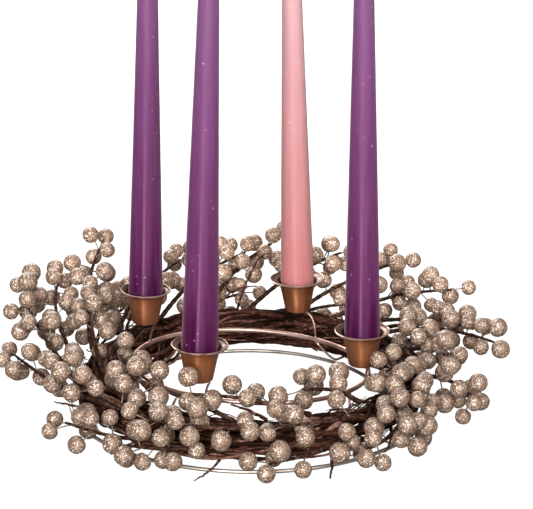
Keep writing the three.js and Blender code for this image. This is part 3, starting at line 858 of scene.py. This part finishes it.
fibres = []
for _ in range(FIBRE_COUNT):
    radius = draw.uniform(*FIBRE_RADIUS)
    span = draw.uniform(*FIBRE_SPAN)
    start = draw.uniform(0, 360)
    fibres.append(runner_route(draw, radius, start, span, FIBRE_DEPTH, FIBRE_WANDER))
twig_bends = []
for root_azimuth, root_radius, root_height, azimuth, radius, height in TWIGS:
    root = polar(root_azimuth, root_radius, root_height)
    tip = polar(azimuth, radius, height)
    middle = polar((root_azimuth + azimuth) / 2, (root_radius + radius) / 2 + TWIG_BOW, height)
    twig_bends.append((root, middle, tip))
for bend in twig_bends:
    route = []
    for share in shares(BEND_STEPS):
        kink = Vector([draw.uniform(-TWIG_KINK, TWIG_KINK) for _ in range(3)])
        thickness = TWIG_ROOT_RADIUS + (TWIG_TIP_RADIUS - TWIG_ROOT_RADIUS) * share
        route.append((bend_point(bend, share) + kink, thickness * draw.uniform(*TWIG_THICKNESS)))
    fibres.append(route)
fine_bark = bark("fine bark", BARK_DARK, BARK_BROWN, BARK_TAN)
tendrils = draw_strands(fibres, 0, fine_bark)
set_down(tendrils, "vine_tendrils", "vine", "vine_ring")

# Thirty-four sprays are pushed into the vines in three layers, all running clockwise seen from
# above. Each is a wire stem wrapped in dark paper tape, with glittered balls on thin wire stalks.
STEM_ROOT_RADIUS = 1.8
STEM_TIP_RADIUS = 0.9
STEM_STEPS = 4
STALK_RADIUS = 0.55
BERRY_RADIUS = (5.1, 6.4)
BERRY_FACET_GROWTH = 1.05
BERRIES_A_SPRAY = 6
BERRY_TRIES = 40
# Share of the stem where the first berry hangs, and how far down the last one hangs from there
BERRY_SHARES = (1, -0.7)
FILLER_SHARES = (0.95, -0.55)
STALK_LENGTH = (2, 9)
SPLAY = (35, 80)
GOLDEN_ANGLE = 137.5
SPRAY_TURN = 31
ANGLE_JITTER = 70
CLEARANCE = 0.45
STALK_CHECK_SHARE = 0.35
HOLE_RADIUS = 60
RIM_HEADROOM = 0.5
RIM_MARGIN = 0.4
BEND_LIFT = 1.6
BEND_TRIES = 24
ROOT_LIFT_SHARE = 0.4
DIRECTION_STEP = 0.0001
LEG_BEND_ROOM = 1
TWIG_BARS = 3
SPRAY_SEED = 1224
FILLER_ROUNDS = 9
FILLER_REACH = 149
FILLER_SEED = 77
NO_LENGTH = 1e-9
# The plain lower rings have a six-sided section and lie on a flat, so their middles are lower
LOWER_RING_MIDDLE = LOWER_WIRE_RADIUS * sin(radians(60))

# Radius and height of the roots, bow outward and rise of the middle, then a row for each spray:
# azimuth of its root, azimuth, radius and height of its tip, and berries added to fill it out
LAYERS = [
    (108, 13, 9, 2, [
        (330, 297, 132, 13, 5),
        (300, 275, 130, 13, 4),
        (264, 236, 129, 14, 6),
        (252, 214, 134, 14, 5),
        (160, 130, 138, 24, 4),
        (124, 92, 136, 26, 6),
        (84, 54, 136, 28, 5),
        (44, 14, 136, 24, 3),
        (8, 343, 143, 19, 3),
        (350, 317, 127, 13, 4),
    ]),
    (108, 22, 9, 6, [
        (224, 181, 150, 30, 5),
        (204, 166, 152, 61, 8),
        (184, 154, 143, 56, 9),
        (164, 141, 131, 76, 9),
        (146, 112, 127, 56, 8),
        (126, 92, 130, 58, 9),
        (108, 84, 132, 64, 9),
        (92, 62, 132, 62, 9),
        (74, 45, 144, 60, 8),
        (60, 28, 152, 51, 8),
        (50, 14, 150, 36, 7),
        (38, 5, 157, 35, 5),
        (18, 344, 126, 40, 5),
        (345, 310, 130, 34, 8),
        (312, 276, 130, 36, 5),
        (280, 244, 132, 34, 8),
        (240, 204, 128, 40, 7),
    ]),
    (95, 26, 4, 10, [
        (314, 291, 84, 38, 1),
        (292, 247, 98, 40, 4),
        (264, 226, 104, 44, 4),
        (238, 203, 88, 42, 1),
        (200, 166, 106, 54, 5),
        (34, 358, 106, 46, 2),
        (354, 322, 104, 44, 4),
    ]),
]


def seeded_draws(seed):
    """Even draws from 0 to 1, the same ones on every machine."""
    state = seed
    word = 0xFFFFFFFF
    while True:
        state = (state + 0x6D2B79F5) & word
        mixed = ((state ^ (state >> 15)) * (state | 1)) & word
        mixed ^= (mixed + (((mixed ^ (mixed >> 7)) * (mixed | 61)) & word)) & word
        yield (mixed ^ (mixed >> 14)) / (word + 1)


class TakenRoom:
    """Room already taken, as straight round bars. A ball is a bar with no length."""

    def __init__(self):
        self.starts = np.zeros((0, 3))
        self.ends = np.zeros((0, 3))
        self.radii = np.zeros(0)
        self.owners = np.zeros(0, int)

    def take(self, start, end, radius, owner):
        self.starts = np.vstack([self.starts, start])
        self.ends = np.vstack([self.ends, end])
        self.radii = np.append(self.radii, radius)
        self.owners = np.append(self.owners, owner)

    def gaps(self, start, end, radius):
        """Free distance from a new bar to each bar taken."""
        new = np.array(end - start)
        old = self.ends - self.starts
        apart = np.array(start) - self.starts
        new_square = new @ new
        old_square = (old * old).sum(1)
        both = old @ new
        new_apart = apart @ new
        old_apart = (old * apart).sum(1)
        spread = new_square * old_square - both * both
        crossing = spread > NO_LENGTH
        is_bar = old_square > NO_LENGTH
        on_new = (both * old_apart - new_apart * old_square) / np.where(crossing, spread, 1)
        on_new = np.where(crossing, np.clip(on_new, 0, 1), 0)
        on_old = np.where(is_bar, (both * on_new + old_apart) / np.where(is_bar, old_square, 1), 0)
        outside = (on_old < 0) | (on_old > 1)
        on_old = np.clip(on_old, 0, 1)
        if new_square > NO_LENGTH:
            on_end = np.clip((both * on_old - new_apart) / new_square, 0, 1)
            on_new = np.where(outside, on_end, on_new)
        nearest_new = np.array(start) + on_new[:, None] * new
        nearest_old = self.starts + on_old[:, None] * old
        return np.linalg.norm(nearest_new - nearest_old, axis=1) - radius - self.radii

    def is_free(self, start, end, radius, owner, own_clearance):
        needed = np.where(self.owners == owner, own_clearance, CLEARANCE)
        return bool((self.gaps(start, end, radius) >= needed).all())


def clears_frame(centre, radius):
    """Whether a ball keeps off the table, vines, rings, cups, candles and the wreath's hole."""
    room = radius + CLEARANCE
    outward = hypot(centre.x, centre.y)
    azimuth = degrees(atan2(centre.y, centre.x))
    if centre.z < room or outward < HOLE_RADIUS + room:
        return False
    wide = (outward - VINE_RADIUS) / (VINE_HALF_WIDTH + room)
    high = (centre.z - VINE_HEIGHT) / (VINE_HALF_DEPTH + room)
    if hypot(wide, high) < 1:
        return False
    for ring_radius, ring_height, wire in [
        (CUP_CIRCLE_RADIUS, upper_ring_height(azimuth), UPPER_WIRE_RADIUS),
        (INNER_RING_RADIUS, LOWER_RING_MIDDLE, LOWER_WIRE_RADIUS),
        (OUTER_RING_RADIUS, LOWER_RING_MIDDLE, LOWER_WIRE_RADIUS),
    ]:
        if hypot(outward - ring_radius, centre.z - ring_height) < wire + room:
            return False
    for _, place_azimuth, rise, lean, rim, _, _ in PLACES:
        rim_height = MEAN_RIM_HEIGHT + rise
        axis = polar(place_azimuth, CUP_CIRCLE_RADIUS, rim_height)
        above = centre.z - rim_height
        shift = tan(radians(lean)) * above
        offset = hypot(centre.x - axis.x - shift, centre.y - axis.y)
        reach = CUP_BODY_RADIUS
        if above + room > CUP_FLARE_HEIGHT and above - room < RIM_HEADROOM:
            reach = rim + RIM_MARGIN
        if offset < reach + room:
            return False
    return True


def stem_bend(layer, row, lift):
    """A spray's stem, from its root in the vines past its bowed middle to its tip."""
    root_radius, root_height, bow, rise, _ = layer
    root_azimuth, tip_azimuth, tip_radius, tip_height, _ = row
    near_tip_azimuth = root_azimuth + (tip_azimuth - root_azimuth + 180) % 360 - 180
    middle = polar(
        (root_azimuth + near_tip_azimuth) / 2,
        (root_radius + tip_radius) / 2 + bow,
        (root_height + tip_height) / 2 + rise + lift,
    )
    root = polar(root_azimuth, root_radius, root_height + lift * ROOT_LIFT_SHARE)
    return root, middle, polar(tip_azimuth, tip_radius, tip_height)


def bend_direction(bend, share):
    ahead = bend_point(bend, min(1, share + DIRECTION_STEP))
    return (ahead - bend_point(bend, max(0, share - DIRECTION_STEP))).normalized()


def stalk_direction(bend, share, turn, splay):
    """The way a stalk points, splayed out from its stem and turned about it."""
    along = bend_direction(bend, share)
    side = Vector((0, 0, 1)).cross(along).normalized()
    up = along.cross(side)
    sideways = sin(radians(splay))
    turned_side = side * cos(radians(turn)) + up * sin(radians(turn))
    return along * cos(radians(splay)) + turned_side * sideways


room = TakenRoom()
LEG_OWNER = -1
TWIG_OWNER = -2
for top, heel, end in leg_paths:
    room.take(top, heel, LEG_WIRE_RADIUS + LEG_BEND_ROOM, LEG_OWNER)
    room.take(heel, end, LEG_WIRE_RADIUS, LEG_OWNER)

sprays = []
for layer in LAYERS:
    for row in layer[-1]:
        owner = len(sprays)
        for attempt in range(BEND_TRIES):
            side = 1 if attempt % 2 == 0 else -1
            bend = stem_bend(layer, row, side * ceil(attempt / 2) * BEND_LIFT)
            points = [bend_point(bend, share) for share in shares(STEM_STEPS)]
            bars = []
            for step in range(STEM_STEPS):
                radius = STEM_ROOT_RADIUS + (STEM_TIP_RADIUS - STEM_ROOT_RADIUS) * step / STEM_STEPS
                bars.append((points[step], points[step + 1], radius))
            if all(room.is_free(start, end, radius, owner, 0) for start, end, radius in bars):
                break
        for start, end, radius in bars:
            room.take(start, end, radius, owner)
        sprays.append((bend, [], row[-1]))
for bend in twig_bends:
    points = [bend_point(bend, share) for share in shares(TWIG_BARS)]
    for start, end in zip(points, points[1:]):
        room.take(start, end, TWIG_ROOT_RADIUS, TWIG_OWNER)


def berry_fits(root, centre, radius, owner):
    ball = radius * BERRY_FACET_GROWTH
    if not clears_frame(centre, ball):
        return False
    if not clears_frame(root.lerp(centre, STALK_CHECK_SHARE), STALK_RADIUS):
        return False
    if not room.is_free(centre, centre, ball, owner, 0):
        return False
    others = room.owners != owner
    return bool((room.gaps(root, centre, STALK_RADIUS)[others] >= CLEARANCE).all())


def fills_out(centre, radius):
    """Whether a ball keeps to the thick of the wreath, and inside the plain frame's room."""
    place = INTO_FRAME @ centre
    reach = radius * MILLIMETRE
    inside = all(low + reach < at < high - reach for at, low, high in zip(place, *cad_box))
    return inside and hypot(centre.x, centre.y) < FILLER_REACH


def hang_berries(draws, rounds, first_share, share_change, filling):
    """Hangs berries round after round, one for each spray, from its tip back to its root."""

    def between(low, high):
        return low + (high - low) * next(draws)

    for berry_round in range(rounds):
        share = first_share + share_change * berry_round / (rounds - 1)
        for owner, (bend, berries, fillers) in enumerate(sprays):
            if filling and berry_round >= fillers:
                continue
            radius = between(*BERRY_RADIUS)
            root = bend_point(bend, share)
            for _ in range(BERRY_TRIES):
                jitter = between(-ANGLE_JITTER, ANGLE_JITTER) * 2
                turn = berry_round * GOLDEN_ANGLE + owner * SPRAY_TURN + jitter
                splay = between(0, SPLAY[0]) if share == 1 else between(*SPLAY)
                length = between(*STALK_LENGTH)
                centre = root + stalk_direction(bend, share, turn, splay) * (length + radius)
                if filling and not fills_out(centre, radius):
                    continue
                if berry_fits(root, centre, radius, owner):
                    room.take(centre, centre, radius * BERRY_FACET_GROWTH, owner)
                    room.take(root, centre, STALK_RADIUS, owner)
                    berries.append((root, centre, radius))
                    break


hang_berries(seeded_draws(SPRAY_SEED), BERRIES_A_SPRAY, *BERRY_SHARES, filling=False)
hang_berries(seeded_draws(FILLER_SEED), FILLER_ROUNDS, *FILLER_SHARES, filling=True)

STEM_DARK = (0.009, 0.0032, 0.0018, 1)
STEM_BROWN = (0.030, 0.0115, 0.0070, 1)
STEM_PALE = (0.115, 0.062, 0.045, 1)
STALK_GREY = (0.090, 0.058, 0.042, 1)
STALK_PALE = (0.260, 0.190, 0.150, 1)
GLITTER_SHADE = (0.100, 0.042, 0.019, 1)
GLITTER_BODY = (0.205, 0.123, 0.080, 1)
GLITTER_PALE = (0.355, 0.243, 0.175, 1)
# Near-white flake colour, for painted glints
GLITTER_PAINTED_GLINT = (0.98, 0.91, 0.82, 1)
GLITTER_EDGE = (1.0, 0.95, 0.89, 1)
FLAKES_A_METRE = 1750
FLAKE_TILT = 0.54
FLAKE_ROUGHNESS = (0.22, 0.46)
FLAKE_DEPTH = 0.0004
# Depths in the frame from which painted light makes the berries paler towards the back and where they
# are palest, and their tones there
PAINTED_LIGHT_DEPTHS = (0.02, 0.11)
PAINTED_LIGHT_TONES = (0.9, 1.5)

tape = mottled(
    "wrapped stem tape",
    sockets={"Roughness": 0.6, "Specular IOR Level": 0.15, "Specular Tint": BARK_SHEEN},
    mottle=(420, 6, 0.62),
    stops=[(0.36, STEM_DARK), (0.5, STEM_BROWN), (0.66, STEM_PALE)],
    grain=(1100, 4),
    relief=(0.0003, 0.7),
)
stalk_wire = mottled(
    "stalk wire",
    sockets={"Roughness": 0.5, "Metallic": 0.2},
    mottle=(700, 4),
    stops=[(0.35, STALK_GREY), (0.65, STALK_PALE)],
    grain=(1800, 3),
    relief=(0.0001, 0.6),
)


def glitter_coat():
    """Coarse champagne glitter, each flake with a tone and a tilt of its own, painted paler towards
    the back as painted light, its palest flakes painted glints.
    """
    sockets = {
        "Roughness": 0.4,
        "Metallic": 0.18,
        "Specular IOR Level": 0.75,
        "Specular Tint": GLITTER_EDGE,
    }
    material, shader, place = start_material("champagne glitter", sockets)
    cells = {"Vector": place, "Scale": FLAKES_A_METRE}
    flakes = add_node(place, "ShaderNodeTexVoronoi", cells).outputs
    draws = add_node(place, "ShaderNodeSeparateColor", {"Color": flakes["Color"]}).outputs
    # The palest flakes are painted glints.
    tones = [(0.0, GLITTER_SHADE), (0.42, GLITTER_BODY), (0.87, GLITTER_PALE), (0.985, GLITTER_PAINTED_GLINT)]
    tone = add_ramp(draws["Red"], tones)
    # Painted light: the berries are painted paler towards the back of the wreath.
    depth = add_node(place, "ShaderNodeSeparateXYZ", {"Vector": place}).outputs["Y"]
    painted_light = add_range(depth, PAINTED_LIGHT_DEPTHS, PAINTED_LIGHT_TONES)
    painted_light_tone = add_term("ShaderNodeVectorMath", "MULTIPLY", tone, painted_light)
    gloss = add_range(draws["Green"], (0, 1), FLAKE_ROUGHNESS)
    set_sockets(shader, {"Base Color": painted_light_tone, "Roughness": gloss})

    tilting = (flakes["Color"], [FLAKE_TILT] * 3, [-FLAKE_TILT / 2] * 3)
    tilt = add_term("ShaderNodeVectorMath", "MULTIPLY_ADD", *tilting)
    outward = add_node(place, "ShaderNodeNewGeometry", {}).outputs["Normal"]
    leaning = add_term("ShaderNodeVectorMath", "ADD", outward, tilt)
    flake_way = add_term("ShaderNodeVectorMath", "NORMALIZE", leaning)
    relief = add_bump(shader, flakes["Distance"], FLAKE_DEPTH, strength=0.5)
    relief.invert = True
    set_sockets(relief, {"Normal": flake_way})
    return material


# The ball is modelled once, lumpy and dimpled where its stalk goes in, and copied to every stalk.
# Each spray becomes two pieces, its stem with the stalks and its balls.
BALL_CUTS = 3
CRUST_DEPTH = 0.045
CRUST_SIZE = 0.35
DIMPLE_HEIGHT = -0.9
DIMPLE_DEPTH = 0.12

bpy.ops.mesh.primitive_cube_add(size=2)
ball = bpy.context.object
bpy.ops.object.mode_set(mode="EDIT")
bpy.ops.mesh.select_all(action="SELECT")
bpy.ops.mesh.subdivide(number_cuts=BALL_CUTS)
bpy.ops.object.mode_set(mode="OBJECT")
bpy.ops.object.modifier_add(type="CAST")
rounding = ball.modifiers[-1]
rounding.factor = 1
rounding.use_radius_as_size = False
rounding.size = 1
bpy.ops.object.modifier_apply(modifier=rounding.name)
displace(ball, CRUST_SIZE, CRUST_DEPTH)
select_where(ball, lambda point: point.z < DIMPLE_HEIGHT)
bpy.ops.transform.translate(value=(0, 0, DIMPLE_DEPTH))
bpy.ops.object.mode_set(mode="OBJECT")
bpy.ops.object.shade_smooth()
ball.data.materials.append(glitter_coat())

DETAIL_SEED = 77
draw = random.Random(DETAIL_SEED)
STEM_ROUTE_STEPS = 44
WRAP_TURNS = 15
WRAP_RELIEF = 0.1
STEM_SLIMNESS = 0.95
STEM_RISE = 0.35
STEM_RISE_PACE = 9
STEM_SWAY = 0.3
STEM_SWAY_PACE = 7
STALK_STEPS = 6
STALK_BOW = 0.09
STALK_END_SHARE = 0.75
STALK_SLIMNESS = 0.85


def stem_route(bend):
    """A wrapped stem, whose tape overlaps itself in low ridges."""
    route = []
    kinks = [draw.uniform(0, tau) for _ in range(2)]
    for share in shares(STEM_ROUTE_STEPS):
        radius = STEM_ROOT_RADIUS + (STEM_TIP_RADIUS - STEM_ROOT_RADIUS) * share
        radius *= STEM_SLIMNESS * (1 + WRAP_RELIEF * sin(tau * WRAP_TURNS * share))
        wobble = Vector((0, 0, STEM_RISE * sin(STEM_RISE_PACE * share + kinks[0])))
        sideways = bend_direction(bend, share).cross(Vector((0, 0, 1)))
        wobble += sideways * STEM_SWAY * sin(STEM_SWAY_PACE * share + kinks[1])
        route.append((bend_point(bend, share) + wobble, radius))
    return route


def stalk_route(root, centre):
    """A stalk, bowed a little, that ends inside its ball."""
    middle = root.lerp(centre, 0.5)
    sag = (centre - root).length * STALK_BOW
    middle += Vector([draw.uniform(-sag, sag) for _ in range(3)])
    bend = (root, middle, root.lerp(centre, STALK_END_SHARE))
    radius = STALK_RADIUS * STALK_SLIMNESS
    return [(bend_point(bend, share), radius) for share in shares(STALK_STEPS)]


for number, (bend, berries, _) in enumerate(sprays, start=1):
    node = f"spray_{number:02d}"
    stem = draw_strands([stem_route(bend)], 2, tape)
    routes = [stalk_route(root, centre) for root, centre, _ in berries]
    join_into(stem, [draw_strands(routes, 0, stalk_wire)])
    set_down(stem, f"{node}_stem", "vine", node)

    balls = []
    for root, centre, radius in berries:
        copy = ball.copy()
        copy.data = ball.data.copy()
        bpy.context.scene.collection.objects.link(copy)
        outward = (centre - root).to_track_quat("Z", "X").to_matrix().to_4x4()
        spin = Matrix.Rotation(draw.uniform(0, tau), 4, "Z")
        copy.data.transform(Matrix.Translation(centre) @ outward @ spin @ Matrix.Scale(radius, 4))
        balls.append(copy)
    join_into(balls[0], balls[1:])
    set_down(balls[0], f"{node}_berries", "berry_glitter", node)
bpy.data.objects.remove(ball)

# The wreath stands on a plain white floor, which the camera sees but which neither lights it nor is
# mirrored in it. A tall soft lamp in front puts the bright spot on every berry and the stripe down
# every taper and cup. A broad one in front fills the shadows, and one behind lights the back.
FLOOR_SIZE = 14
FLOOR_GLOW = 0.97
WORLD_STRENGTH = 0.16
FILL_TINT = (1.0, 0.93, 0.86, 1)
LAMP_AIM = Vector((0, 0, 0.08))
# Place, width, height and power of each lamp
LAMPS = [
    ((-1.19, -5.0, 1.45), 1.03, 2.86, 345),
    ((0.9, -3.6, 3.0), 3.2, 3.2, 290),
    ((-0.9, 3.8, 2.4), 2.6, 2.6, 190),
]

bpy.ops.mesh.primitive_plane_add(size=FLOOR_SIZE)
floor = bpy.context.object
floor.name = "floor"
sockets = {
    "Roughness": 0.9,
    "Base Color": (0.2, 0.2, 0.2, 1),
    "Emission Color": (1, 1, 1, 1),
    "Emission Strength": FLOOR_GLOW,
}
paper, _, _ = start_material("white paper", sockets)
floor.data.materials.append(paper)
floor.visible_glossy = False
floor.visible_diffuse = False
floor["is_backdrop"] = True

for lamp_place, width, height, power in LAMPS:
    bpy.ops.object.light_add(type="AREA", location=lamp_place)
    lamp = bpy.context.object
    lamp.data.shape = "RECTANGLE"
    lamp.data.size = width
    lamp.data.size_y = height
    lamp.data.energy = power
    lamp.visible_camera = False
    lamp.rotation_euler = (LAMP_AIM - lamp.location).to_track_quat("-Z", "Y").to_euler()

world = bpy.data.worlds.new("white room")
bpy.context.scene.world = world
world.use_nodes = True
fill = world.node_tree.nodes["Background"]
set_sockets(fill, {"Color": FILL_TINT, "Strength": WORLD_STRENGTH})
bpy.context.scene.view_settings.view_transform = "Standard"

# The size of the dressed wreath is reckoned beside that of its frame.
corners = {"cad": cad_box, "visual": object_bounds()}
{key: [list(corner) for corner in box] for key, box in corners.items()}
